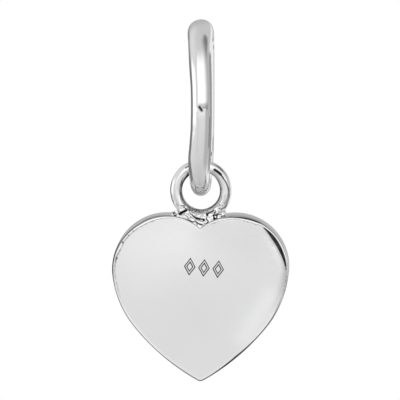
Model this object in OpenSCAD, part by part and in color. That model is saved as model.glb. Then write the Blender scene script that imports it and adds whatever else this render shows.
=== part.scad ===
// Heart pendant: a polished silver heart on a soldered jump ring that hangs from an oval bail.
// The origin is where the chain sits, at the bail's inner top. +Z is up.
// The flat back of the heart faces -Y and its domed front faces +Y.

/* [Bail] */
// Diameter of the bail's wire halfway down its sides
bail_side_wire_d = 1.16; // [1.0:0.02:1.24]
// Diameter of the bail's wire at the top
bail_top_wire_d = 1.4; // [1.14:0.02:1.5]
// Height of the bail's wire at the bottom, where the jump ring hangs
bail_bottom_wire_d = 1.28; // [1.14:0.02:1.34]
// Width of the bail's wire at the bottom, a little flattened from side to side
bail_bottom_wire_w = 1.12; // [1.0:0.02:1.28]
// Outer height of the bail
bail_h = 9.95; // [9.45:0.05:10.4]
// Outer depth of the bail, front to back
bail_depth = 7.1; // [6.6:0.1:7.4]
// Radius of the bail's long sides, on the wire's centreline
bail_side_r = 8; // [7:0.5:11]

/* [Jump ring] */
// Outer diameter of the jump ring
ring_od = 3.48; // [3.4:0.02:3.7]
// Diameter of the jump ring's wire
ring_wire_d = 0.68; // [0.6:0.02:0.74]
// Gap between the bail and the jump ring that hangs on it
hang_gap = 0.08; // [0.05:0.01:0.12]

/* [Heart] */
// Thickness of the heart, its dome included
heart_t = 2.4; // [2:0.1:2.8]
// How far the front's dome rises above the edge
dome_h = 0.4; // [0.1:0.05:0.6]
// Radius of the edge round the flat back
back_edge_r = 0.12; // [0.06:0.02:0.26]
// Radius of the edge round the domed front
front_edge_r = 0.24; // [0.1:0.02:0.26]
// Distance from the jump ring's centre down to the heart's cleft
cleft_drop = 2.02; // [1.96:0.02:2.08]
// Distance from the heart's middle line to the top of a lobe
lobe_x = 1.92; // [1.82:0.02:2.02]
// Radius of the lobe's top on the cleft's side
cleft_side_r = 2.94; // [2.7:0.02:3.3]
// Radius of the lobe's outer corner
lobe_r = 3.05; // [2.9:0.05:3.2]
// Angle that the lobe's outer corner turns through
lobe_turn = 96; // [90:1:100]
// Radius of the heart's shoulder, below its widest place
shoulder_r = 5.6; // [5:0.1:6.2]
// Angle that the shoulder turns through
shoulder_turn = 32.5; // [28:0.5:36]
// Radius of the long lower side
side_r = 12.4; // [11:0.2:15]
// Radius of the heart's lower tip
tip_r = 0.35; // [0.3:0.05:0.5]

/* [Solder] */
// Half of the solder's width
solder_half_w = 1.2; // [1.0:0.05:1.3]
// Radius of the solder's middle lump
solder_mid_r = 0.44; // [0.36:0.02:0.5]
// Radius of the solder's end lumps
solder_end_r = 0.27; // [0.2:0.01:0.32]

/* [Hidden] */
$fn = 96;

silver = [0.84, 0.84, 0.85];

// Points round the bail's wire, and steps along each of its ends and sides
bail_wire_sides = 20;
bail_end_steps = 20;
bail_side_steps = 14;
// How sharply the wire thickens towards the bail's top and bottom
bail_taper = 3;

// Steps in each stretch of the heart's outline, half a heart
cleft_steps = 6;
lobe_steps = 16;
shoulder_steps = 7;
side_steps = 11;
tip_steps = 3;
// Steps in each rounded edge
edge_steps = 4;
// Share of the outline at each ring of the dome, from the edge to the middle
dome_rings = [0.93, 0.84, 0.7, 0.5, 0.25];
solder_lumps = 7;

// The bail is an oval of four arcs: two tight ends and two long sides that meet them smoothly
bail_a = (bail_h - bail_top_wire_d / 2 - bail_bottom_wire_d / 2) / 2;
bail_b = (bail_depth - bail_side_wire_d) / 2;
bail_end_r = (pow(bail_side_r, 2) - pow(bail_side_r - bail_b, 2) - pow(bail_a, 2)) / (2 * (bail_side_r - bail_a));
bail_end_z = bail_a - bail_end_r;
bail_side_y = bail_side_r - bail_b;
bail_join = atan2(bail_end_z, bail_side_y);
bail_mid_z = bail_top_wire_d / 2 - bail_a;

// The jump ring hangs on the inside of the bail's bottom wire
ring_wire_r = ring_wire_d / 2;
ring_r = ring_od / 2 - ring_wire_r;
hang_z = bail_mid_z - bail_a;
ring_z = hang_z + bail_bottom_wire_d / 2 + hang_gap - (ring_r - ring_wire_r);

// The lobe's tops, from the cleft
cleft_turn = asin(lobe_x / cleft_side_r);
cleft_depth = cleft_side_r * (1 - cos(cleft_turn));
cleft_z = ring_z - cleft_drop;
lobe_z = cleft_z + cleft_depth;

// Centres of the outline's arcs, each tangent to the one before. An angle is turned clockwise from the lobe's top
function arc_centre(c, from_r, to_r, turned) = c + (from_r - to_r) * [sin(turned), cos(turned)];
cleft_c = [lobe_x, lobe_z - cleft_side_r];
lobe_c = [lobe_x, lobe_z - lobe_r];
shoulder_c = arc_centre(lobe_c, lobe_r, shoulder_r, lobe_turn);
side_from = lobe_turn + shoulder_turn;
side_c = arc_centre(shoulder_c, shoulder_r, side_r, side_from);
// The tip's arc has its centre on the middle line
tip_from = 180 - asin(-side_c[0] / (side_r - tip_r));
tip_c = arc_centre(side_c, side_r, tip_r, tip_from);

// Each row: centre, radius, first angle, last angle, steps
ARC_CENTRE = 0;
ARC_R = 1;
ARC_FROM = 2;
ARC_TO = 3;
ARC_STEPS = 4;
heart_arcs = [
    [cleft_c, cleft_side_r, -cleft_turn, 0, cleft_steps],
    [lobe_c, lobe_r, 0, lobe_turn, lobe_steps],
    [shoulder_c, shoulder_r, lobe_turn, side_from, shoulder_steps],
    [side_c, side_r, side_from, tip_from, side_steps],
    [tip_c, tip_r, tip_from, 180, tip_steps]
];

// One half of the outline, cleft to tip, as rows of [point, outward normal]
function arc_rows(a) = [
    for (i = [0 : a[ARC_STEPS] - 1])
        let (t = a[ARC_FROM] + (a[ARC_TO] - a[ARC_FROM]) * i / a[ARC_STEPS], n = [sin(t), cos(t)])
        [a[ARC_CENTRE] + a[ARC_R] * n, n]
];
// In the cleft the two sides meet in a corner, so its normal is a mitre
cleft_row = [[0, cleft_z], [0, 1 / cos(cleft_turn)]];
tip_row = [tip_c + [0, -tip_r], [0, -1]];
arc_row_list = [for (a = heart_arcs) each arc_rows(a)];
side_rows = [for (i = [1 : len(arc_row_list) - 1]) arc_row_list[i]];
function mirrored(row) = [[-row[0][0], row[0][1]], [-row[1][0], row[1][1]]];
heart_rows = [
    cleft_row,
    each side_rows,
    tip_row,
    for (i = [len(side_rows) - 1 : -1 : 0]) mirrored(side_rows[i])
];

// Depths of the plate's rims
back_y = -heart_t / 2;
front_edge_y = heart_t / 2 - dome_h;
// The dome shrinks towards a point midway between the cleft and the tip
dome_mid = [0, (cleft_z + tip_c[1] - tip_r) / 2];

// A ring of the plate set in from the outline, at depth y
function inset_ring(inset, y) = [for (r = heart_rows) let (p = r[0] - inset * r[1]) [p[0], y, p[1]]];
// A ring of the front's dome, a share of the inset outline
function dome_ring(share) =
    let (y = front_edge_y + dome_h * sqrt(1 - share * share))
    [for (r = heart_rows) let (p = dome_mid + share * (r[0] - front_edge_r * r[1] - dome_mid)) [p[0], y, p[1]]];

plate_rings = [
    for (i = [0 : edge_steps])
        let (t = 90 * i / edge_steps) inset_ring(back_edge_r * (1 - sin(t)), back_y + back_edge_r * (1 - cos(t))),
    for (i = [0 : edge_steps])
        let (t = 90 * i / edge_steps)
            inset_ring(front_edge_r * (1 - cos(t)), front_edge_y - front_edge_r * (1 - sin(t))),
    for (share = dome_rings) dome_ring(share)
];

// Solid skin over rings of equal length, flat at the first ring and closed to a point after the last
module ringed_solid(rings, apex) {
    n = len(rings[0]);
    points = [for (ring = rings) each ring, apex];
    last = len(rings) - 1;
    polyhedron(
        points = points,
        faces = [
            [for (i = [0 : n - 1]) i],
            for (k = [0 : last - 1], i = [0 : n - 1])
                let (j = (i + 1) % n) each [
                    [k * n + i, (k + 1) * n + i, (k + 1) * n + j],
                    [k * n + i, (k + 1) * n + j, k * n + j]
                ],
            for (i = [0 : n - 1]) [last * n + i, len(points) - 1, last * n + (i + 1) % n]
        ]
    );
}

// Solid skin over a closed run of rings of equal length
module ring_of_rings(rings) {
    n = len(rings[0]);
    m = len(rings);
    polyhedron(
        points = [for (ring = rings) each ring],
        faces = [
            for (k = [0 : m - 1], i = [0 : n - 1])
                let (a = k * n, b = ((k + 1) % m) * n, j = (i + 1) % n) each [
                    [a + i, b + j, b + i],
                    [a + i, a + j, b + j]
                ]
        ]
    );
}

// Each row: centre as [y, z] from the bail's middle, radius, first angle, last angle, steps.
// Angles run from +Y towards +Z
bail_arcs = [
    [[-bail_side_y, 0], bail_side_r, -bail_join, bail_join, bail_side_steps],
    [[0, bail_end_z], bail_end_r, bail_join, 180 - bail_join, bail_end_steps],
    [[bail_side_y, 0], bail_side_r, 180 - bail_join, 180 + bail_join, bail_side_steps],
    [[0, -bail_end_z], bail_end_r, 180 + bail_join, 360 - bail_join, bail_end_steps]
];

// Half of the wire's thickness at a height from the bail's middle, or of its width, from that at the bottom
function bail_wire_half(z, bottom_d) =
    let (side_r = bail_side_wire_d / 2, end_r = (z > 0 ? bail_top_wire_d : bottom_d) / 2)
    side_r + (end_r - side_r) * pow(abs(z) / bail_a, bail_taper);

// One section of the wire, square to its run at angle t of an arc
function bail_section(a, t) =
    let (
        out = [cos(t), sin(t)],
        c = a[ARC_CENTRE] + a[ARC_R] * out,
        half_t = bail_wire_half(c[1], bail_bottom_wire_d),
        half_w = bail_wire_half(c[1], bail_bottom_wire_w)
    ) [
        for (i = [0 : bail_wire_sides - 1])
            let (u = 360 * i / bail_wire_sides, p = c + half_t * cos(u) * out)
            [half_w * sin(u), p[0], bail_mid_z + p[1]]
    ];

module bail() {
    color(silver) ring_of_rings([
        for (a = bail_arcs, i = [0 : a[ARC_STEPS] - 1])
            bail_section(a, a[ARC_FROM] + (a[ARC_TO] - a[ARC_FROM]) * i / a[ARC_STEPS])
    ]);
}

module heart_plate() {
    ringed_solid(plate_rings, [dome_mid[0], heart_t / 2, dome_mid[1]]);
}

module jump_ring() {
    translate([0, 0, ring_z]) rotate([90, 0, 0]) rotate_extrude() translate([ring_r, 0]) circle(r = ring_wire_r);
}

// Lumps of solder along the cleft, lowest in its middle
module solder() {
    for (i = [0 : solder_lumps - 1]) {
        side = 2 * i / (solder_lumps - 1) - 1;
        r = solder_mid_r + (solder_end_r - solder_mid_r) * abs(side);
        x = side * solder_half_w;
        translate([x, 0, cleft_z + cleft_depth * abs(x) / lobe_x + r / 2]) sphere(r = r);
    }
}

module heart() {
    color(silver) union() {
        heart_plate();
        jump_ring();
        solder();
    }
}

bail();
heart();
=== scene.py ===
"""Looks of the heart pendant: a polished silver charm on a soldered jump ring, hung from an oval bail.

Meshes are made in millimetres, in the frame of the solids, and scaled to metres when they are placed.
"""

import math
import random

import bmesh
import bpy
import numpy as np
from mathutils import Matrix, Vector, noise


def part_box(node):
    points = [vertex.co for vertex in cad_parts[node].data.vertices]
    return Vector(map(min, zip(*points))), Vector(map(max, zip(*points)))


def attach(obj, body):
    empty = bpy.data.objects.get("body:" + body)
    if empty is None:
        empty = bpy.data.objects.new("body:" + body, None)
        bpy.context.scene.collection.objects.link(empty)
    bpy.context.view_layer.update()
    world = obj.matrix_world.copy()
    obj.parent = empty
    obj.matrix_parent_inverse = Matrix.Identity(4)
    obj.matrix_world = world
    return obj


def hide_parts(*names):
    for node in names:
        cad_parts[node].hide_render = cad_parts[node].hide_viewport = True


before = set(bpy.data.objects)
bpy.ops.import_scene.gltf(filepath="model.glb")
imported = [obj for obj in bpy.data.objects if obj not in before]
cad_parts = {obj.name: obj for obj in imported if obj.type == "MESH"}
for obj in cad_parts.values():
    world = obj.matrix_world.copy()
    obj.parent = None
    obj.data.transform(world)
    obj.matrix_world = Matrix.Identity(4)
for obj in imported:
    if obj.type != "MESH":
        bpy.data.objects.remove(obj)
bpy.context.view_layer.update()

MM = 0.001
bail_low, bail_high = (np.array(corner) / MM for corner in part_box("bail"))
heart_low, heart_high = (np.array(corner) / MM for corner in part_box("heart"))

# Bail. Its wire is thinnest halfway down its sides
BAIL_SIDE_WIRE_R = 0.58
BAIL_TOP_WIRE_R = bail_high[2] / 2
BAIL_BOTTOM_WIRE_R = 0.64
BAIL_BOTTOM_HALF_W = 0.56
# How far the wire's left side bulges where it was bent over the top
BAIL_BULGE = 0.06
# How much brighter a painted sheen makes the bail's bottom
BAIL_FOOT_SHEEN = 0.6
# Heights over its middle where its brighter bottom and the bulge at its top begin
BAIL_FOOT_Z = -3.6
BAIL_BULGE_Z = 3.9
BAIL_SIDE_R = 8.0
BAIL_TAPER = 3
BAIL_HALF_H = (bail_high[2] - bail_low[2] - BAIL_TOP_WIRE_R - BAIL_BOTTOM_WIRE_R) / 2
BAIL_HALF_DEPTH = bail_high[1] - BAIL_SIDE_WIRE_R
BAIL_MID_Z = BAIL_TOP_WIRE_R - BAIL_HALF_H
# How the near side's wire strays. Each row: height over the bail's middle; offset to the right; how much
# the wire's half width grows
BAIL_BOW = np.array(
    [
        [-4.3, 0, 0],
        [-3.1, -0.03, 0.03],
        [-2.5, 0, 0.04],
        [-2.0, 0.05, 0.03],
        [-0.9, 0.11, 0],
        [0, 0.13, 0],
        [1.5, 0.12, 0],
        [2.8, 0.05, 0],
        [4.3, 0, 0],
    ]
)
# The far side's bow at mid-height
BAIL_FAR_BOW = 0.06
# Dents and a burr where the wire's ends were closed, halfway down the near side, with painted shade in
# and round them that also ends the highlight above. Each row: x and height over the bail's middle of one
# end, and of the other; half the width; how far the wire's surface stands out; darkness of the painted
# shade
BAIL_MARKS = [
    (0.04, 0.41, 0.17, 0.22, 0.085, -0.010, 0.95),
    (0.22, 0.37, 0.42, 0.38, 0.070, -0.006, 0.50),
    (0.45, 0.26, 0.47, 0.48, 0.045, 0.000, 0.60),
    (0.10, 0.50, 0.42, 0.52, 0.110, 0.000, 0.30),
    (-0.06, 0.16, -0.04, 0.38, 0.050, 0.012, 0.00),
]
# Painted shade and painted reflections: dark lines along the wire and its edges, and a darker bottom. Each
# row: near side (-1) or far side (1); where the line lies, from the wire's left edge (-1) to its right edge
# (1), and half its width; heights over the bail's middle where it starts and ends; darkness
BAIL_SHADE_LINES = [
    (-1, 1.00, 0.20, -3.2, 3.2, 0.50),
    (-1, 0.82, 0.05, -1.9, -0.1, 0.60),
    (-1, -0.97, 0.10, -3.1, -1.9, 0.65),
    (-1, -0.25, 0.08, -2.1, 0.0, 0.07),
    (-1, -0.74, 0.05, -1.8, -0.5, 0.12),
    (-1, 0.00, 0.95, -5.5, -3.85, 0.16),
    (1, 0.00, 0.95, -5.5, -4.3, 0.16),
    (-1, -0.90, 0.08, -4.6, -4.14, 0.70),
    (-1, -0.55, 0.22, -5.0, -4.26, 0.85),
    (1, 1.00, 0.05, -4.0, 3.6, 0.50),
    (1, 0.92, 0.05, -2.8, -1.9, 0.35),
    (1, 0.82, 0.05, -3.11, -2.83, 0.60),
    (1, 0.75, 0.05, -3.40, -3.25, 0.50),
    (1, 0.95, 0.05, 3.30, 3.60, 0.45),
    (1, 0.92, 0.05, 3.85, 4.20, 0.45),
]

# Jump ring
RING_WIRE_R = 0.34
RING_R = 1.40
RING_Z = heart_high[2] - RING_R - RING_WIRE_R
# Painted shade on the ring's inner side, facing its hole. Each row: degrees round the ring, clockwise from
# the top; darkness; how far it reaches towards the near side, as a share of the wire's radius
RING_INSIDE_SHADE = np.array(
    [
        [0, 0.50, 0.28],
        [40, 0.35, 0.20],
        [60, 0.80, 0.20],
        [90, 0.90, 0.22],
        [125, 0.75, 0.28],
        [155, 0.65, 0.32],
        [170, 0.65, 0.75],
        [205, 0.65, 0.85],
        [225, 0.60, 0.50],
        [240, 0.50, 0.28],
        [260, 0.70, 0.24],
        [280, 0.80, 0.24],
        [300, 0.90, 0.32],
        [315, 1.20, 0.40],
        [335, 1.10, 0.36],
        [360, 0.50, 0.28],
    ]
)
# Painted reflections as fine dark lines on its near side. Each row: degrees round the ring and round the
# wire (0 at its outer side, 90 at the near side) of one end, and of the other; half the width; darkness
RING_REFLECTION_LINES = [
    (33, 84, 50, 79, 0.075, 1.20),
    (50, 79, 61, 80, 0.050, 1.00),
    (61, 80, 71, 73, 0.045, 0.90),
    (71, 73, 89, 62, 0.048, 0.85),
    (89, 62, 101, 62, 0.045, 0.70),
    (101, 62, 118, 72, 0.045, 0.50),
    (97, 50, 135, 42, 0.050, 0.45),
    (100, 95, 135, 90, 0.060, 0.20),
    (327, 62, 335, 62, 0.045, 0.80),
    (34, 33, 46, 40, 0.045, 0.80),
    (235, 7, 286, 7, 0.050, 0.72),
    (286, 7, 345, 12, 0.040, 0.25),
    (226, 128, 240, 118, 0.045, 0.55),
    (240, 118, 262, 135, 0.045, 0.50),
    (262, 135, 278, 142, 0.035, 0.25),
    (232, 76, 285, 74, 0.045, 0.16),
    (285, 74, 318, 92, 0.045, 0.12),
    (318, 92, 332, 104, 0.060, 0.25),
    (106, 122, 120, 117, 0.028, 0.40),
    (120, 117, 150, 113, 0.028, 0.40),
]

# Heart. The outline's arcs are those of the solid
BACK_Y = heart_low[1]
FRONT_Y = heart_high[1]
DOME_H = 0.4
FRONT_EDGE_R = 0.24
CLEFT_DROP = 2.02
LOBE_X = 1.92
CLEFT_SIDE_R = 2.94
LOBE_R = 3.05
LOBE_TURN = math.radians(96)
SHOULDER_R = 5.6
SHOULDER_TURN = math.radians(32.5)
SIDE_R = 12.4
TIP_R = 0.35
CLEFT_Z = RING_Z - CLEFT_DROP
CLEFT_TURN = math.asin(LOBE_X / CLEFT_SIDE_R)
LOBE_Z = CLEFT_Z + CLEFT_SIDE_R * (1 - math.cos(CLEFT_TURN))
OUTLINE_STEP = 0.055
# Radius of the circle that the dome's inner rings round off to
ROUND_R = 4.4

# The rim round the flat back, where it meets the wall. Each row: share of the way round the outline,
# clockwise from the cleft as the back is seen; width of the rim; width of the groove inside it and its
# painted shade; how far in the seam lies, half its width and its darkness; how far the back rolls off
# towards the rim
RIM = np.array(
    [
        [0.000, 0.05, 0.05, 0.05, 0.01, 0.030, 0.50, 0.00],
        [0.018, 0.10, 0.05, 0.30, 0.01, 0.030, 0.20, 0.00],
        [0.030, 0.135, 0.06, 0.60, 0.01, 0.030, 0.20, 0.00],
        [0.042, 0.14, 0.06, 0.30, 0.02, 0.035, 0.35, 0.00],
        [0.050, 0.16, 0.07, 0.15, 0.05, 0.045, 0.40, 0.00],
        [0.070, 0.17, 0.08, 0.20, 0.08, 0.040, 0.85, 0.00],
        [0.090, 0.20, 0.07, 0.35, 0.07, 0.048, 1.00, 0.00],
        [0.110, 0.19, 0.08, 0.42, 0.05, 0.045, 0.95, 0.00],
        [0.122, 0.10, 0.08, 0.40, 0.00, 0.045, 0.75, 0.00],
        [0.132, 0.10, 0.10, 0.95, 0.00, 0.040, 0.50, 0.00],
        [0.140, 0.10, 0.15, 1.00, 0.00, 0.03, 0.30, 0.01],
        [0.155, 0.10, 0.23, 1.00, 0.00, 0.035, 0.35, 0.03],
        [0.170, 0.115, 0.23, 1.00, 0.00, 0.03, 0.25, 0.045],
        [0.185, 0.12, 0.215, 1.00, 0.00, 0.03, 0.25, 0.045],
        [0.200, 0.12, 0.165, 1.00, 0.00, 0.03, 0.25, 0.05],
        [0.215, 0.11, 0.11, 1.00, 0.00, 0.03, 0.25, 0.05],
        [0.230, 0.07, 0.08, 0.60, 0.02, 0.035, 0.30, 0.06],
        [0.255, 0.06, 0.08, 0.60, 0.02, 0.04, 0.50, 0.05],
        [0.280, 0.09, 0.07, 0.35, 0.11, 0.040, 0.45, 0.025],
        [0.320, 0.10, 0.06, 0.05, 0.05, 0.048, 0.75, 0.00],
        [0.360, 0.10, 0.06, 0.00, 0.04, 0.045, 0.70, 0.00],
        [0.390, 0.10, 0.06, 0.00, 0.05, 0.055, 0.90, 0.00],
        [0.420, 0.11, 0.06, 0.00, 0.065, 0.062, 1.00, 0.00],
        [0.450, 0.10, 0.06, 0.00, 0.045, 0.055, 1.00, 0.00],
        [0.480, 0.08, 0.05, 0.00, 0.03, 0.048, 0.80, 0.00],
        [0.520, 0.08, 0.05, 0.00, 0.045, 0.045, 0.65, 0.00],
        [0.560, 0.08, 0.05, 0.00, 0.04, 0.042, 0.65, 0.00],
        [0.600, 0.08, 0.05, 0.00, 0.02, 0.04, 0.60, 0.00],
        [0.700, 0.09, 0.06, 0.05, 0.02, 0.04, 0.50, 0.00],
        [0.740, 0.13, 0.08, 0.30, 0.00, 0.045, 0.50, 0.00],
        [0.770, 0.12, 0.07, 0.35, 0.02, 0.055, 1.00, 0.00],
        [0.800, 0.14, 0.09, 0.65, 0.02, 0.060, 1.00, 0.00],
        [0.820, 0.22, 0.08, 0.45, 0.05, 0.045, 0.95, 0.00],
        [0.840, 0.17, 0.09, 0.50, 0.07, 0.045, 0.75, 0.00],
        [0.860, 0.19, 0.09, 0.45, 0.08, 0.045, 0.80, 0.00],
        [0.880, 0.21, 0.09, 0.45, 0.08, 0.045, 0.75, 0.00],
        [0.910, 0.16, 0.08, 0.45, 0.02, 0.045, 0.70, 0.00],
        [0.940, 0.09, 0.07, 0.30, 0.00, 0.040, 0.65, 0.00],
        [0.970, 0.08, 0.06, 0.05, 0.00, 0.030, 0.25, 0.00],
        [1.000, 0.05, 0.05, 0.05, 0.01, 0.030, 0.50, 0.00],
    ]
)
# Painted shade at the foot of the wall. Each row: share of the outline, darkness
WALL_SHADE = np.array(
    [
        [0.000, 0.35],
        [0.060, 0.45],
        [0.130, 0.45],
        [0.200, 0.30],
        [0.840, 0.30],
        [0.860, 0.10],
        [0.895, 0.10],
        [0.920, 0.40],
        [1.000, 0.40],
    ]
)
# The painted shade at the wall's foot reaches this deep
WALL_SHADE_DEPTH = 0.8
# Depth from the back within which the rim's and the back's looks apply
BACK_DEPTH = 0.15
# How much deeper the rim is than wide
RIM_STEEPNESS = 1.2
# How far the back's roll-off reaches
ROLL_W = 0.2
# Small dark spots in the groove. Each row: share of the outline, inset, radius
GROOVE_SPOTS = [
    (0.797, 0.19, 0.062),
    (0.832, 0.18, 0.062),
    (0.850, 0.19, 0.035),
    (0.862, 0.20, 0.035),
]
# A painted highlight: a bright line inside the seam round the right side and the tip. Its brightness at
# shares of the outline, its distance from the seam and half its width
BRIGHT_LINE = np.array([[0.28, 0], [0.32, 0.5], [0.72, 0.5], [0.76, 0]])
BRIGHT_LINE_INSET = 0.12
BRIGHT_LINE_HALF_W = 0.05
# Broad shallow swells of the back. Each row: x, z, radius, height
SWELLS = [(-0.8, -13.2, 2.6, 0.06)]
# Painted sheen and painted shade over the back, where it is brighter or duller. Each row: x and z of one
# end, and of the other; half the width; brightness
SHEEN_PATCHES = [
    (-3.6, -11.2, -1.6, -10.6, 1.70, 0.36),
    (3.9, -14.2, 2.5, -16.4, 0.62, 0.60),
    (0.6, -10.6, 2.4, -11.2, 1.20, -0.30),
    (-2.9, -13.8, -1.2, -14.6, 1.50, 0.15),
]

# The row of lozenges pressed into the back
STAMP_X = 0.21
STAMP_Z = -12.5
STAMP_TILT = math.radians(-5)
STAMP_COUNT = 3
STAMP_STEP = 0.80
LOZENGE_W = 0.66
LOZENGE_H = 1.02
GROOVE_W = 0.17
GROOVE_DEPTH = 0.05

# Solder between the ring and the cleft. Lumps along the ring's foot, and the degrees round the ring of the
# first and last
SOLDER_HALF_W = 1.25
FOOT_LUMPS = 15
FOOT_START = 132
FOOT_END = 228
# Lumps in the cleft: how many from side to side, and the depths of each
CLEFT_LUMPS = 19
CLEFT_LUMP_Y = (-0.78, -0.27, 0.27, 0.78)
# Two small lumps left of the ring's foot: centre, radius and stretch in depth
SIDE_LUMPS = [((-1.38, -0.5, -9.50), 0.14, 1.6), ((-1.57, -0.5, -9.53), 0.11, 1.6)]
SOLDER_VOXEL = 0.02
# Its near side is a ramp from the ring's foot down and out to the plate: y and z of its top, how far out it
# leads, and over what height
RAMP_Y = -0.60
RAMP_Z = -9.35
RAMP_OUT = 0.48
RAMP_H = 0.85
# Heights of its broad and folded roughness and of its creases, and how much smoother the far side is
BROAD_H = 0.055
FOLD_H = 0.03
CREASE_H = 0.03
FAR_SMOOTHER = 0.65
# Where the painted shade strokes at the ring's foot lie on it: lowest height, middle and half the width
FOOT_Z = -9.42
FOOT_X = -0.24
FOOT_HALF_W = 0.5
# Its deep creases on the near side, pressed in and darkened with painted shade. Each row: x and z of one
# end, and of the other; half the width; darkness
SOLDER_CREASES = [
    (-1.17, -9.49, -0.81, -9.32, 0.062, 1.2),
    (-0.48, -9.55, -0.26, -9.71, 0.032, 1.1),
    (-0.26, -9.71, -0.06, -9.78, 0.045, 1.1),
    (-0.06, -9.78, 0.20, -9.82, 0.045, 1.1),
    (0.29, -9.70, 0.37, -9.81, 0.030, 1.0),
    (0.37, -9.81, 0.46, -9.90, 0.030, 1.0),
    (0.46, -9.90, 0.37, -10.01, 0.030, 1.0),
    (0.37, -10.01, 0.21, -10.03, 0.024, 0.8),
    (0.33, -9.53, 0.51, -9.45, 0.040, 1.0),
    (0.51, -9.45, 0.71, -9.32, 0.040, 1.0),
    (0.35, -9.53, 0.38, -9.57, 0.060, 1.1),
    (0.73, -9.57, 0.77, -9.73, 0.034, 1.1),
    (0.77, -9.73, 0.91, -9.77, 0.034, 1.1),
    (0.91, -9.77, 0.93, -9.63, 0.034, 1.1),
    (0.93, -9.63, 0.79, -9.52, 0.034, 1.1),
    (0.77, -9.76, 0.89, -9.87, 0.055, 1.1),
    (0.94, -9.57, 1.00, -9.53, 0.040, 1.0),
    (0.82, -9.34, 0.84, -9.43, 0.030, 0.9),
    (-1.44, -9.66, -1.13, -9.72, 0.034, 0.55),
    (-1.13, -9.72, -0.72, -9.83, 0.040, 0.75),
    (-0.72, -9.83, -0.48, -9.92, 0.032, 1.0),
    (-0.48, -9.92, -0.24, -9.92, 0.032, 1.0),
    (-0.24, -9.92, -0.12, -10.01, 0.032, 1.0),
    (-0.12, -10.01, 0.11, -10.07, 0.032, 1.0),
    (-0.24, -9.97, -0.16, -10.07, 0.028, 0.8),
    (-0.84, -9.59, -0.72, -9.65, 0.026, 0.7),
    (-0.72, -9.65, -0.68, -9.77, 0.026, 0.7),
    (-0.56, -9.65, -0.44, -9.73, 0.022, 0.6),
    (-0.44, -9.73, -0.34, -9.69, 0.022, 0.6),
    (-0.04, -9.63, 0.08, -9.59, 0.022, 0.5),
    (0.08, -9.59, 0.21, -9.63, 0.022, 0.5),
    (-1.55, -9.32, -1.51, -9.53, 0.032, 0.9),
    (-1.42, -9.49, -1.37, -9.57, 0.034, 0.9),
    (-0.96, -9.16, -0.85, -9.24, 0.030, 0.7),
    (-0.85, -9.24, -0.69, -9.29, 0.030, 0.7),
    (-0.65, -9.32, -0.55, -9.53, 0.028, 0.6),
    (0.08, -10.16, 0.53, -10.01, 0.024, 0.7),
    (0.53, -10.01, 0.91, -9.87, 0.024, 0.3),
    (0.91, -9.87, 1.17, -9.77, 0.034, 0.9),
    (1.17, -9.77, 1.33, -9.65, 0.034, 0.9),
    (1.22, -9.65, 1.36, -9.59, 0.060, 0.75),
    (1.02, -9.40, 1.16, -9.32, 0.100, 0.35),
    (1.30, -9.16, 1.16, -9.31, 0.036, 0.8),
    (1.05, -9.21, 1.09, -9.23, 0.036, 0.8),
    (0.77, -9.43, 0.77, -9.50, 0.036, 1.0),
    (1.09, -9.53, 1.15, -9.54, 0.040, 0.6),
    (-1.50, -9.44, -1.46, -9.46, 0.036, 0.9),
    (-1.18, -9.66, -0.62, -9.84, 0.090, 0.3),
]


def mesh_object(name, verts, faces):
    mesh = bpy.data.meshes.new(name)
    mesh.from_pydata([tuple(v) for v in verts], [], faces)
    obj = bpy.data.objects.new(name, mesh)
    bpy.context.scene.collection.objects.link(obj)
    return obj


def smooth_by_angle(mesh, angle):
    """Smooth shading, but for edges that turn more than angle."""
    bm = bmesh.new()
    bm.from_mesh(mesh)
    for face in bm.faces:
        face.smooth = True
    for edge in bm.edges:
        edge.smooth = len(edge.link_faces) == 2 and edge.calc_face_angle(0) < angle
    bm.to_mesh(mesh)
    bm.free()


def apply_modifiers(obj):
    """Turn an object's modifiers into plain mesh."""
    depsgraph = bpy.context.evaluated_depsgraph_get()
    mesh = bpy.data.meshes.new_from_object(obj.evaluated_get(depsgraph))
    obj.modifiers.clear()
    old = obj.data
    obj.data = mesh
    bpy.data.meshes.remove(old)


def set_attribute(mesh, name, values):
    """A number at each vertex that the material reads."""
    attribute = mesh.attributes.new(name, "FLOAT", "POINT")
    attribute.data.foreach_set("value", np.asarray(values, dtype=np.float32))


def vertex_array(mesh):
    flat = np.empty(len(mesh.vertices) * 3)
    mesh.vertices.foreach_get("co", flat)
    return flat.reshape(-1, 3)


def ring_faces(rings, count, closed=False):
    """Quads between rings of equal length."""
    last = rings if closed else rings - 1
    faces = []
    for k in range(last):
        a, b = k * count, ((k + 1) % rings) * count
        for i in range(count):
            j = (i + 1) % count
            faces.append((a + i, a + j, b + j, b + i))
    return faces


def clamp(value, low=0, high=1):
    return min(max(value, low), high)


def wobble(point, scale, amount, seed):
    """Smooth hand-polished unevenness at a point."""
    return amount * noise.noise(Vector(point) / scale + Vector((seed, 0, 0)))


def segment_distance(px, py, ends):
    """Distance of points from a stretch that runs from the first to the last of its ends."""
    ax, ay, bx, by = ends
    along = ((px - ax) * (bx - ax) + (py - ay) * (by - ay)) / ((bx - ax) ** 2 + (by - ay) ** 2)
    along = np.clip(along, 0, 1)
    return np.hypot(px - ax - along * (bx - ax), py - ay - along * (by - ay))


# Bail


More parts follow.
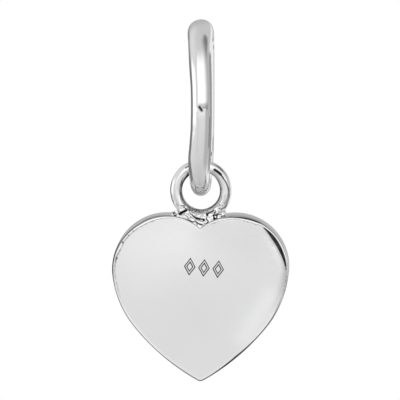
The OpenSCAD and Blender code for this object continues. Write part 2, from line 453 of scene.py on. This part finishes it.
def bail_path():
    """Centre and outward direction, as (y, z) from the bail's middle, of each section round the oval."""
    half_h, half_d, side_r = BAIL_HALF_H, BAIL_HALF_DEPTH, BAIL_SIDE_R
    end_r = (side_r**2 - (side_r - half_d) ** 2 - half_h**2) / (2 * (side_r - half_h))
    end_z = half_h - end_r
    side_y = side_r - half_d
    join = math.atan2(end_z, side_y)
    # Each row: centre, radius, first angle, last angle
    arcs = [
        ((-side_y, 0), side_r, -join, join),
        ((0, end_z), end_r, join, math.pi - join),
        ((side_y, 0), side_r, math.pi - join, math.pi + join),
        ((0, -end_z), end_r, math.pi + join, 2 * math.pi - join),
    ]
    step = 0.05
    rows = []
    for centre, r, start, end in arcs:
        steps = round(r * (end - start) / step)
        for i in range(steps):
            t = start + (end - start) * i / steps
            out = np.array([math.cos(t), math.sin(t)])
            rows.append((np.array(centre) + r * out, out))
    return rows


def bail_marks(v):
    """How far the wire stands out at a point of its near side, and how dark the painted shade makes it
    there.
    """
    height, dark = 0.0, 0.0
    if v[1] < 0 and abs(v[2] - BAIL_MID_Z) < 1:
        for *ends, half_w, mark_height, mark_dark in BAIL_MARKS:
            share = math.exp(-((segment_distance(v[0], v[2] - BAIL_MID_Z, ends) / half_w) ** 2))
            height += mark_height * share
            dark = max(dark, mark_dark * share)
    return height, dark


def bail_shade_lines(side, across, z):
    """How dark the painted shade lines make the wire at a place across its width, on one side at a height
    over the middle.
    """
    dark = 0.0
    for line_side, place, half_w, low, high, line_dark in BAIL_SHADE_LINES:
        if line_side == side and low - 0.3 < z < high + 0.3:
            fade = min(0.3, (high - low) / 3)
            ends = clamp((z - low) / fade + 0.5) * clamp((high - z) / fade + 0.5)
            dark = max(dark, line_dark * ends * clamp(1.5 - abs(across - place) / half_w))
    return dark


def make_bail():
    sides = 96
    rows = bail_path()
    verts = []
    dark = []
    painted_sheen = []
    for c, out in rows:
        # Painted sheen that brightens the bail's bottom
        painted_sheen += [BAIL_FOOT_SHEEN * clamp((BAIL_FOOT_Z - c[1]) / 0.3)] * sides
        taper = (abs(c[1]) / BAIL_HALF_H) ** BAIL_TAPER
        end_t, end_w = BAIL_BOTTOM_WIRE_R, BAIL_BOTTOM_HALF_W
        if c[1] > 0:
            end_t = end_w = BAIL_TOP_WIRE_R
        half_t = BAIL_SIDE_WIRE_R + (end_t - BAIL_SIDE_WIRE_R) * taper
        half_w = BAIL_SIDE_WIRE_R + (end_w - BAIL_SIDE_WIRE_R) * taper
        bow, wider = BAIL_FAR_BOW, 0.0
        if c[0] < 0:
            bow, wider = (np.interp(c[1], BAIL_BOW[:, 0], BAIL_BOW[:, column]) for column in (1, 2))
        bow *= (c[0] / BAIL_HALF_DEPTH) ** 2
        half_w += wider
        bulge = BAIL_BULGE * clamp((c[1] - BAIL_BULGE_Z) / 0.5)
        for i in range(sides):
            u = 2 * math.pi * i / sides
            across = math.sin(u)
            p = c + half_t * math.cos(u) * out
            x = bow + half_w * across + bulge * min(across, 0)
            v = np.array([x, p[0], BAIL_MID_Z + p[1]])
            radial = np.array([across, math.cos(u) * out[0], math.cos(u) * out[1]])
            height, mark_dark = bail_marks(v)
            verts.append(v + radial * (wobble(v, 1.6, 0.012, 3.0) + height))
            dark.append(max(mark_dark, bail_shade_lines(-1 if c[0] < 0 else 1, across, c[1])))
    obj = mesh_object("bail_wire", verts, ring_faces(len(rows), sides, closed=True))
    # This darkness is painted shade and painted reflection
    set_attribute(obj.data, "seam_and_shade", dark)
    set_attribute(obj.data, "painted_sheen", painted_sheen)
    smooth_by_angle(obj.data, math.radians(60))
    return obj


# Heart


def heart_outline():
    """Points (x, z) and outward normals round the heart, clockwise from the cleft as the back is seen."""

    def centre_after(c, from_r, to_r, t):
        return c + (from_r - to_r) * np.array([math.sin(t), math.cos(t)])

    cleft_c = np.array([LOBE_X, LOBE_Z - CLEFT_SIDE_R])
    lobe_c = np.array([LOBE_X, LOBE_Z - LOBE_R])
    shoulder_c = centre_after(lobe_c, LOBE_R, SHOULDER_R, LOBE_TURN)
    side_from = LOBE_TURN + SHOULDER_TURN
    side_c = centre_after(shoulder_c, SHOULDER_R, SIDE_R, side_from)
    tip_from = math.pi - math.asin(-side_c[0] / (SIDE_R - TIP_R))
    tip_c = centre_after(side_c, SIDE_R, TIP_R, tip_from)
    # Each row: centre, radius, first angle, last angle
    arcs = [
        (cleft_c, CLEFT_SIDE_R, -CLEFT_TURN, 0),
        (lobe_c, LOBE_R, 0, LOBE_TURN),
        (shoulder_c, SHOULDER_R, LOBE_TURN, side_from),
        (side_c, SIDE_R, side_from, tip_from),
        (tip_c, TIP_R, tip_from, math.pi),
    ]
    half = []
    for c, r, start, end in arcs:
        steps = max(8, round(r * (end - start) / OUTLINE_STEP))
        for i in range(steps):
            t = start + (end - start) * i / steps
            n = np.array([math.sin(t), math.cos(t)])
            half.append((c + r * n, n))
    # In the cleft the two sides meet in a corner, so its normal is a mitre
    half[0] = (np.array([0.0, CLEFT_Z]), np.array([0.0, 1 / math.cos(CLEFT_TURN)]))
    tip = (tip_c - np.array([0, TIP_R]), np.array([0.0, -1.0]))
    flip = np.array([-1, 1])
    rows = half + [tip] + [(p * flip, n * flip) for p, n in reversed(half[1:])]
    return np.array([p for p, n in rows]), np.array([n for p, n in rows])


def outline_shares(points):
    lengths = np.linalg.norm(np.roll(points, -1, axis=0) - points, axis=1)
    return np.concatenate([[0], np.cumsum(lengths)[:-1]]) / lengths.sum()


def rim_sizes(shares):
    """The columns of RIM after the first, at each share of the outline."""
    return [np.interp(shares, RIM[:, 0], RIM[:, column]) for column in range(1, RIM.shape[1])]


def plate_rings(points, normals, mid):
    """Rings of the plate from the middle of its flat back, over the rim, to the middle of its front."""
    rim, groove = rim_sizes(outline_shares(points))[:2]

    def ring(inset, depth):
        plan = points - np.broadcast_to(inset, rim.shape)[:, None] * normals
        return np.column_stack([plan[:, 0], BACK_Y + np.broadcast_to(depth, rim.shape), plan[:, 1]])

    def shrunk(ring_points, share, y):
        plan = mid + share * (ring_points[:, [0, 2]] - mid)
        return np.column_stack([plan[:, 0], np.full(len(plan), y), plan[:, 1]])

    face_edge = ring(rim + groove + 0.01, 0)
    face_rings = 48
    rings = []
    for i in range(face_rings + 1):
        share = 1 - (1 - max(i, 0.5) / face_rings) ** 2
        rings.append(shrunk(face_edge, share, BACK_Y))
    groove_depth = 0.10 * groove + 0.25 * np.maximum(groove - 0.1, 0)
    groove_steps = 8
    for i in range(groove_steps):
        across = 1 - i / groove_steps
        rings.append(ring(rim + across * groove, groove_depth * math.sin(math.pi * across) ** 2))
    rim_steps = 12
    for i in range(rim_steps + 1):
        t = math.pi / 2 * i / rim_steps
        rings.append(ring(rim * (1 - math.sin(t)), RIM_STEEPNESS * rim * (1 - math.cos(t))))
    wall_start = 0.4
    wall_end = FRONT_Y - DOME_H - FRONT_EDGE_R - BACK_Y
    wall_steps = 10
    for i in range(wall_steps):
        rings.append(ring(0, wall_start + (wall_end - wall_start) * i / wall_steps))
    edge_steps = 10
    for i in range(edge_steps + 1):
        t = math.pi / 2 * i / edge_steps
        rings.append(ring(FRONT_EDGE_R * (1 - math.cos(t)), wall_end + FRONT_EDGE_R * math.sin(t)))
    dome_steps = 40
    dome_edge = rings[-1]
    # The dome's inner rings round off towards a circle, so that no ridge runs in from the cleft or the tip
    plan = dome_edge[:, [0, 2]] - mid
    circle = mid + ROUND_R * plan / np.linalg.norm(plan, axis=1)[:, None]
    circle = np.column_stack([circle[:, 0], dome_edge[:, 1], circle[:, 1]])
    for i in range(1, dome_steps):
        share = 1 - (i / dome_steps) ** 1.5
        outline = share * dome_edge + (1 - share) * circle
        rings.append(shrunk(outline, share, FRONT_Y - DOME_H * (1 - math.sqrt(1 - share**2))))
    return rings


def plate_blank(points, normals, mid):
    rings = plate_rings(points, normals, mid)
    count = len(points)
    verts = [p for ring in rings for p in ring]
    faces = ring_faces(len(rings), count)
    back, front = len(verts), len(verts) + 1
    verts += [np.array([mid[0], BACK_Y, mid[1]]), np.array([mid[0], FRONT_Y, mid[1]])]
    last = (len(rings) - 1) * count
    for i in range(count):
        j = (i + 1) % count
        faces.append((back, j, i))
        faces.append((front, last + i, last + j))
    return mesh_object("heart_plate", verts, faces)


def stamp_cutter():
    """The grooves of the row of lozenges, as solids that reach into the back."""
    # Each row: place across the groove, depth
    profile = [
        (-0.65, -0.2),
        (0.65, -0.2),
        (0.5, 0),
        (0.46, 0.15),
        (0.22, 0.85),
        (0.17, 1),
        (-0.17, 1),
        (-0.22, 0.85),
        (-0.46, 0.15),
        (-0.5, 0),
    ]
    corner_steps = 4
    verts, faces = [], []
    cos_t, sin_t = math.cos(STAMP_TILT), math.sin(STAMP_TILT)
    for k in range(STAMP_COUNT):
        along = (k - (STAMP_COUNT - 1) / 2) * STAMP_STEP
        start = len(verts)
        path = []
        for corner in range(4):
            t = math.pi / 2 * corner
            tip = np.array([math.sin(t) * LOZENGE_W / 2, math.cos(t) * LOZENGE_H / 2])
            t2 = t + math.pi / 2
            following = np.array([math.sin(t2) * LOZENGE_W / 2, math.cos(t2) * LOZENGE_H / 2])
            path.append(tip)
            for s in range(1, corner_steps):
                path.append(tip + (following - tip) * s / corner_steps)
        for p in path:
            for half_w, depth in profile:
                inward = 1 - (0.5 + half_w) * GROOVE_W / (LOZENGE_W / 2) * 1.15
                x, z = p * inward
                verts.append(
                    (
                        STAMP_X + (along + x) * cos_t - z * sin_t,
                        BACK_Y + depth * GROOVE_DEPTH,
                        STAMP_Z + (along + x) * sin_t + z * cos_t,
                    )
                )
        for face in ring_faces(len(path), len(profile), closed=True):
            faces.append(tuple(start + v for v in face))
    cutter = mesh_object("stamp", verts, faces)
    bm = bmesh.new()
    bm.from_mesh(cutter.data)
    bmesh.ops.recalc_face_normals(bm, faces=bm.faces)
    bm.to_mesh(cutter.data)
    bm.free()
    return cutter


def cut_stamp(plate):
    cutter = stamp_cutter()
    boolean = plate.modifiers.new("stamp", "BOOLEAN")
    boolean.operation = "DIFFERENCE"
    boolean.solver = "EXACT"
    boolean.object = cutter
    apply_modifiers(plate)
    bpy.data.objects.remove(cutter)


def shape_back(co, inset, rim, groove, roll):
    """Gentle unevenness of the polished back, and its roll-off towards the rim."""
    back = np.clip((BACK_Y + 0.9 - co[:, 1]) / 0.5, 0, 1)
    x, z = co[:, 0], co[:, 2]
    past = np.maximum(inset - rim - groove, 0)
    co[:, 1] += back * roll * np.exp(-((past / ROLL_W) ** 2))
    for swell_x, swell_z, r, height in SWELLS:
        co[:, 1] -= back * height * np.exp(-((x - swell_x) ** 2 + (z - swell_z) ** 2) / r**2)


def make_plate():
    points, normals = heart_outline()
    mid = np.array([0, (points[:, 1].max() + points[:, 1].min()) / 2])
    plate = plate_blank(points, normals, mid)
    cut_stamp(plate)
    mesh = plate.data
    co = vertex_array(mesh)
    # Nearest outline point of each vertex, and how far inside it the vertex lies
    nearest = np.empty(len(co), dtype=int)
    inset = np.empty(len(co))
    for start in range(0, len(co), 4000):
        part = co[start : start + 4000][:, None, [0, 2]] - points[None]
        distance = np.linalg.norm(part, axis=2)
        k = distance.argmin(axis=1)
        nearest[start : start + 4000] = k
        inset[start : start + 4000] = distance[np.arange(len(k)), k]
    shares = outline_shares(points)
    sizes = (size[nearest] for size in rim_sizes(shares))
    # The fourth column is how far in the seam lies
    rim, groove, groove_shade, seam_and_shade, seam_half_w, seam_dark, roll = sizes
    depth = co[:, 1] - BACK_Y
    at_back = depth < BACK_DEPTH
    across_groove = np.abs(inset - rim - groove / 2) / groove
    in_groove = np.clip((0.58 - across_groove) * 6, 0, 1) * at_back
    uneven = np.array([0.8 + 0.9 * noise.noise(Vector(p) / 0.12) for p in co])
    dark = in_groove * np.clip(groove_shade * np.where(groove_shade < 0.9, uneven, 1), 0, 1)
    # Painted shade where the back rolls off
    past = np.maximum(inset - rim - groove, 0)
    dark = np.maximum(dark, 6 * roll * np.exp(-((past / ROLL_W) ** 2)) * (inset > rim) * at_back)
    # The seam runs along the rim's outer side, and painted shade darkens the wall at its foot
    on_rim = np.clip(1.5 - np.abs(inset - seam_and_shade) / seam_half_w, 0, 1)
    past_rim = np.maximum(depth - RIM_STEEPNESS * rim, 0)
    dark = np.maximum(dark, on_rim * np.clip(1 - past_rim / 0.12, 0, 1) * seam_dark)
    wall_shade = np.clip(1 - inset / 0.06, 0, 1) * np.clip(1 - past_rim / WALL_SHADE_DEPTH, 0, 1)
    dark = np.maximum(dark, wall_shade * np.interp(shares, WALL_SHADE[:, 0], WALL_SHADE[:, 1])[nearest])
    for share, spot_inset, r in GROOVE_SPOTS:
        k = np.abs(shares - share).argmin()
        x, z = points[k] - spot_inset * normals[k]
        away = np.hypot(co[:, 0] - x, co[:, 2] - z)
        dark = np.maximum(dark, np.clip(1.5 - away / r, 0, 1) * at_back)
    # Painted shade on the stamp's sides, with its floor left light
    in_stamp = (inset > 1) & at_back
    stamp_shade = np.interp(depth / GROOVE_DEPTH, [0, 0.15, 0.85, 1], [0, 0.95, 0.95, 0.1])
    dark = np.where(in_stamp, stamp_shade, dark)
    # This darkness is the seam line and painted shade
    set_attribute(mesh, "seam_and_shade", dark)
    # Painted sheen and painted shade over the back, and the painted highlight line inside the seam
    painted_sheen = np.zeros(len(co))
    for *ends, half_w, brightness in SHEEN_PATCHES:
        painted_sheen += brightness * np.exp(-((segment_distance(co[:, 0], co[:, 2], ends) / half_w) ** 2))
    line = np.interp(shares, BRIGHT_LINE[:, 0], BRIGHT_LINE[:, 1])[nearest]
    painted_sheen += line * np.exp(-(((inset - seam_and_shade - BRIGHT_LINE_INSET) / BRIGHT_LINE_HALF_W) ** 2))
    set_attribute(mesh, "painted_sheen", painted_sheen * at_back)
    shape_back(co, inset, rim, groove, roll)
    mesh.vertices.foreach_set("co", co.ravel())
    smooth_by_angle(mesh, math.radians(28))
    return plate


def shade_strokes(point):
    """A factor that breaks the painted shade into short strokes down the near side where the ring meets the
    solder.
    """
    return clamp(0.7 + 1.4 * noise.noise(Vector((point[0] / 0.07, 0, point[2] / 0.5))), 0.1, 1.3)


def make_ring():
    around, sides = 360, 96
    turned = np.repeat(np.arange(around), sides) * 360 / around
    wire = np.tile(np.arange(sides), around) * 360 / sides
    a, u = np.radians(turned), np.radians(wire)
    out = np.column_stack([np.sin(a), np.zeros(len(a)), np.cos(a)])
    radial = np.cos(u)[:, None] * out - np.sin(u)[:, None] * np.array([0, 1, 0])
    verts = np.array([0, 0, RING_Z]) + RING_R * out + RING_WIRE_R * radial
    verts += radial * np.array([wobble(v, 0.9, 0.010, 7.0) for v in verts])[:, None]
    # Painted shade on the inner side, broken into strokes where the ring meets the solder
    inside = np.interp(turned, RING_INSIDE_SHADE[:, 0], RING_INSIDE_SHADE[:, 1])
    reach = np.interp(turned, RING_INSIDE_SHADE[:, 0], RING_INSIDE_SHADE[:, 2])
    inside *= np.where(reach > 0.4, [shade_strokes(v) for v in verts], 1)
    dark = inside * np.clip((reach - 1 - np.cos(u)) / (0.3 * reach), 0, 1)
    # Fine dark lines of painted reflection
    for a1, u1, a2, u2, half_w, line_dark in RING_REFLECTION_LINES:
        # Degrees round the ring and the wire, as lengths
        ends = np.radians([a1 * RING_R, u1 * RING_WIRE_R, a2 * RING_R, u2 * RING_WIRE_R])
        away = segment_distance(a * RING_R, u * RING_WIRE_R, ends)
        dark = np.maximum(dark, line_dark * np.clip(1.5 - away / half_w, 0, 1))
    obj = mesh_object("jump_ring", verts, ring_faces(around, sides, closed=True))
    # This darkness is painted shade and painted reflection
    set_attribute(obj.data, "seam_and_shade", dark)
    smooth_by_angle(obj.data, math.radians(60))
    return obj


def solder_lumps(draw):
    """Centre, radius and stretch in depth of the lumps: along the ring's foot, then down in the cleft."""
    lumps = []
    for i in range(FOOT_LUMPS):
        a = math.radians(FOOT_START + (FOOT_END - FOOT_START) * i / (FOOT_LUMPS - 1))
        r = draw.uniform(0.22, 0.28)
        out = RING_R + 0.05
        lumps.append(((out * math.sin(a), draw.uniform(-0.08, 0.0), RING_Z + out * math.cos(a)), r, 2.6))
    for i in range(CLEFT_LUMPS):
        x = SOLDER_HALF_W * (2 * i / (CLEFT_LUMPS - 1) - 1)
        plate_z = LOBE_Z - CLEFT_SIDE_R + math.sqrt(CLEFT_SIDE_R**2 - (LOBE_X - abs(x)) ** 2)
        r = 0.23 - 0.08 * abs(x) / SOLDER_HALF_W + draw.uniform(-0.01, 0.02)
        for y in CLEFT_LUMP_Y:
            lumps.append(((x, y, plate_z + 0.35 * r), r, 1.6))
    return lumps + SIDE_LUMPS


def fused_lumps(name, lumps, voxel):
    """One closed mesh round all the lumps."""
    bm = bmesh.new()
    for centre, r, stretch in lumps:
        place = Matrix.Translation(centre) @ Matrix.Diagonal((1, stretch, 1, 1))
        bmesh.ops.create_icosphere(bm, subdivisions=3, radius=r, matrix=place)
    mesh = bpy.data.meshes.new(name)
    bm.to_mesh(mesh)
    bm.free()
    obj = bpy.data.objects.new(name, mesh)
    bpy.context.scene.collection.objects.link(obj)
    remesh = obj.modifiers.new("fuse", "REMESH")
    remesh.mode = "VOXEL"
    remesh.voxel_size = voxel
    apply_modifiers(obj)
    return obj


def creases(co):
    """How deep in the solder's creases each point is, which also sets their painted shade."""
    crease = np.zeros(len(co))
    for *ends, half_w, crease_dark in SOLDER_CREASES:
        away = segment_distance(co[:, 0], co[:, 2], ends)
        crease = np.maximum(crease, crease_dark * np.clip(2.0 - 1.5 * away / half_w, 0, 1))
    return np.where(co[:, 1] < 0, crease, 0)


def foot_shade_strokes(point):
    """How dark the painted shade in strokes that runs on from the ring's foot is at a point of the solder.
    """
    if point.y >= 0:
        return 0
    inside = clamp((point.z - FOOT_Z) / 0.06) * clamp((FOOT_HALF_W - abs(point.x - FOOT_X)) / 0.1)
    return 0.6 * inside * shade_strokes(point)


def make_solder():
    """Crumpled solder: lumps between the ring's foot and the cleft, fused and roughened, with painted shade
    in its creases and painted dark reflections in patches.
    """
    obj = fused_lumps("solder", solder_lumps(random.Random(5)), SOLDER_VOXEL)
    bm = bmesh.new()
    bm.from_mesh(obj.data)
    bm.normal_update()
    dark = []
    for v, crease in zip(bm.verts, creases(vertex_array(obj.data))):
        broad = noise.noise(v.co / 0.30 + Vector((4, 0, 0)))
        folded = Vector((v.co.x / 0.40, v.co.y / 0.40, v.co.z / 0.22)) + Vector((9, 2, 0))
        fold = 1 - 3 * abs(noise.noise(folded))
        rough = 1 - FAR_SMOOTHER * clamp((v.co.y + 0.1) / 0.4)
        # Patches of painted dark reflection on the rough near side
        patch = clamp(noise.noise(v.co / 0.16 + Vector((0, 5, 3))) * 8 - 5.2, high=0.8)
        dark.append(max(crease, rough * patch, foot_shade_strokes(v.co)))
        ramp_y = RAMP_Y + RAMP_OUT * clamp((v.co.z - RAMP_Z) / RAMP_H, -1, 0)
        v.co.y += 0.8 * (ramp_y - v.co.y) * clamp((-v.normal.y - 0.1) / 0.3)
        v.co += v.normal * (rough * (BROAD_H * broad + FOLD_H * fold) - CREASE_H * crease)
    bm.to_mesh(obj.data)
    bm.free()
    # This darkness is painted shade and painted reflection
    set_attribute(obj.data, "seam_and_shade", dark)
    smooth_by_angle(obj.data, math.radians(80))
    return obj


# Materials


class Graph:
    """Short calls for making value nodes in a node tree."""

    def __init__(self, tree):
        self.nodes, self.links = tree.nodes, tree.links

    def put(self, value, socket):
        if hasattr(value, "is_output"):
            self.links.new(value, socket)
        else:
            socket.default_value = value

    def math(self, operation, *values):
        node = self.nodes.new("ShaderNodeMath")
        node.operation = operation
        for value, socket in zip(values, node.inputs):
            self.put(value, socket)
        return node.outputs[0]

    def remap(self, value, start, end, low, high, shape="LINEAR"):
        """low up to start, high from end."""
        node = self.nodes.new("ShaderNodeMapRange")
        node.interpolation_type = shape
        names = ("Value", "From Min", "From Max", "To Min", "To Max")
        for name, v in zip(names, (value, start, end, low, high)):
            self.put(v, node.inputs[name])
        return node.outputs["Result"]

    def mix(self, share, a, b):
        node = self.nodes.new("ShaderNodeMix")
        node.data_type = "FLOAT"
        for value, socket in zip((share, a, b), (node.inputs[0], node.inputs[2], node.inputs[3])):
            self.put(value, socket)
        return node.outputs[0]

    def mix_colour(self, share, a, b):
        node = self.nodes.new("ShaderNodeMix")
        node.data_type = "RGBA"
        for value, socket in zip((share, a, b), (node.inputs[0], node.inputs[6], node.inputs[7])):
            self.put(value, socket)
        return node.outputs[2]

    def attribute(self, name):
        node = self.nodes.new("ShaderNodeAttribute")
        node.attribute_name = name
        return node.outputs["Fac"]

    def noise(self, vector, scale, detail=3.0, stretch=(1, 1, 1)):
        place = self.nodes.new("ShaderNodeMapping")
        place.inputs["Scale"].default_value = stretch
        self.put(vector, place.inputs["Vector"])
        node = self.nodes.new("ShaderNodeTexNoise")
        node.inputs["Scale"].default_value = scale
        node.inputs["Detail"].default_value = detail
        self.put(place.outputs[0], node.inputs["Vector"])
        return node.outputs["Fac"]


def silver(name, roughness=0.07, bump=0.02, tone_low=0.84, dull=0.2):
    """Polished silver that darkens with the painted shade, painted reflections and seam line held in the
    mesh's attributes, and brightens with their painted sheen.

    dull is how much rougher it is where the painted shade and seam attribute is darkest.
    """
    mat = bpy.data.materials.new(name)
    mat.use_nodes = True
    g = Graph(mat.node_tree)
    bsdf = g.nodes["Principled BSDF"]
    bsdf.inputs["Metallic"].default_value = 1.0
    coords = g.nodes.new("ShaderNodeTexCoord").outputs["Object"]
    seam_and_shade = g.attribute("seam_and_shade")
    # Random tone plus the painted sheen attribute
    tone_and_sheen = g.math("ADD", g.remap(g.noise(coords, 400, 3.0), 0.3, 0.7, 0.32, 0.44), g.attribute("painted_sheen"))
    unshaded = g.mix_colour(tone_and_sheen, (tone_low, tone_low, tone_low + 0.005, 1), (0.99, 0.99, 0.99, 1))
    # Painted shade, painted reflections and seam lines take the colour towards near black
    dark = g.math("MULTIPLY", seam_and_shade, g.remap(g.noise(coords, 3000, 2.0), 0.3, 0.7, 0.94, 1.0))
    g.put(g.mix_colour(dark, unshaded, (0.012, 0.012, 0.012, 1)), bsdf.inputs["Base Color"])
    smears = g.noise(coords, 1500, 4.0, (1, 1, 0.35))
    smear = g.remap(smears, 0.35, 0.65, 0.7 * roughness, 1.3 * roughness)
    g.put(g.math("ADD", smear, g.math("MULTIPLY", seam_and_shade, dull)), bsdf.inputs["Roughness"])
    wave = g.nodes.new("ShaderNodeBump")
    wave.inputs["Strength"].default_value = bump
    wave.inputs["Distance"].default_value = 0.0001
    g.put(g.noise(coords, 2200, 4.0), wave.inputs["Height"])
    g.put(wave.outputs[0], bsdf.inputs["Normal"])
    return mat


# Studio

# Level of the light by elevation, in degrees
SKY = [
    (-90, 0.55),
    (-74, 0.61),
    (-52, 0.65),
    (-37, 0.70),
    (-20, 0.75),
    (-10, 0.77),
    (-7.5, 0.81),
    (-4, 0.90),
    (0, 0.92),
    (4, 0.76),
    (40, 0.76),
    (65, 0.65),
    (90, 0.62),
]
# Soft-edged areas over the sky. Each row: azimuth where it starts, is full, is still full and ends; the
# same for elevation; level. Azimuth 0 is in front of the heart's back, 90 at its right
PANELS = [
    # Behind the pendant, right and left of it
    ((95, 175, 181, 182), (-91, -90, 20, 90), 0.50),
    ((-182, -181, -170, -125), (-91, -90, 20, 90), 0.50),
    # Grey at the right, lighter farther round
    ((34, 60, 100, 112), (-55, -35, 70, 88), 0.50),
    ((98, 110, 158, 175), (-45, -25, 6, 16), 0.95),
    ((98, 110, 158, 175), (8, 20, 70, 85), 0.60),
    # Dark at the far left, lower end darkest
    ((-178, -150, -112, -100), (-46, -30, -2, 18), 0.20),
    # Left softbox
    ((-110, -98, -60, -50), (-15, -8, 9, 24), 1.15),
    # Front softbox
    ((-41, -32, 30, 88), (0, 3, 26, 68), 1.15),
    # Dim gap between the two
    ((-58, -53, -48, -42), (-15, -5, 26, 50), 0.68),
    # Small dark gap over the right
    ((62, 102, 114, 132), (18, 42, 54, 76), 0.22),
]


def make_world():
    world = bpy.data.worlds.new("studio")
    bpy.context.scene.world = world
    world.use_nodes = True
    g = Graph(world.node_tree)
    xyz = g.nodes.new("ShaderNodeSeparateXYZ")
    g.put(g.nodes.new("ShaderNodeTexCoord").outputs["Generated"], xyz.inputs[0])
    x, y, z = xyz.outputs
    azimuth = g.math("DEGREES", g.math("ARCTAN2", x, g.math("MULTIPLY", y, -1.0)))
    elevation = g.math("DEGREES", g.math("ARCSINE", z))

    def area(angle, edges):
        start, full, still, end = edges
        rise = g.remap(angle, start, full, 0.0, 1.0, "SMOOTHSTEP")
        return g.math("MULTIPLY", rise, g.remap(angle, still, end, 1.0, 0.0, "SMOOTHSTEP"))

    level = SKY[0][1]
    for (low, _), (high, high_level) in zip(SKY, SKY[1:]):
        level = g.mix(g.remap(elevation, low, high, 0.0, 1.0), level, high_level)
    for across, up, panel_level in PANELS:
        level = g.mix(g.math("MULTIPLY", area(azimuth, across), area(elevation, up)), level, panel_level)
    # The picture's own background is plain white
    seen = g.nodes.new("ShaderNodeLightPath").outputs["Is Camera Ray"]
    g.put(g.mix(seen, level, 1.0), g.nodes["Background"].inputs["Color"])


def make_floor():
    """A pale round floor below the pendant. The metal mirrors the painted studio in its place."""
    sides, radius, z = 96, 0.15, -0.05
    turns = [2 * math.pi * i / sides for i in range(sides)]
    edge = [(radius * math.cos(t), radius * math.sin(t), z) for t in turns]
    floor = mesh_object("floor", edge, [range(sides)])
    floor.visible_glossy = False
    mat = bpy.data.materials.new("floor")
    mat.use_nodes = True
    bsdf = mat.node_tree.nodes["Principled BSDF"]
    bsdf.inputs["Base Color"].default_value = (0.82, 0.82, 0.82, 1)
    bsdf.inputs["Roughness"].default_value = 0.8
    floor.data.materials.append(mat)


def make_camera():
    distance = 0.3
    azimuth, elevation = math.radians(2.2), math.radians(6.5)
    frame_width = 400 / 17750
    target = Vector((-0.00006, 0, -0.0088))
    flat = math.cos(elevation)
    back = Vector((math.sin(azimuth) * flat, -math.cos(azimuth) * flat, math.sin(elevation)))
    data = bpy.data.cameras.new("camera")
    data.sensor_width = 36
    data.lens = data.sensor_width * distance / frame_width
    data.clip_start = 0.01
    camera = bpy.data.objects.new("camera", data)
    bpy.context.scene.collection.objects.link(camera)
    camera.location = target + back * distance
    camera.rotation_mode = "QUATERNION"
    camera.rotation_quaternion = (-back).to_track_quat("-Z", "Y")
    bpy.context.scene.camera = camera


def place(obj, node, material):
    """Scale a finished piece to metres and dress it. Each node has a body of the same name."""
    obj.data.transform(Matrix.Scale(MM, 4))
    obj.data.materials.append(material)
    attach(obj, node)
    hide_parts(node)


make_camera()
make_world()
make_floor()
bpy.context.scene.view_settings.view_transform = "Standard"
place(make_bail(), "bail", silver("bail_silver", dull=1.2))
polished = silver("heart_silver")
place(make_plate(), "heart", polished)
place(make_ring(), "heart", polished)
place(make_solder(), "heart", silver("solder_silver", roughness=0.08, bump=0.05, tone_low=0.93))
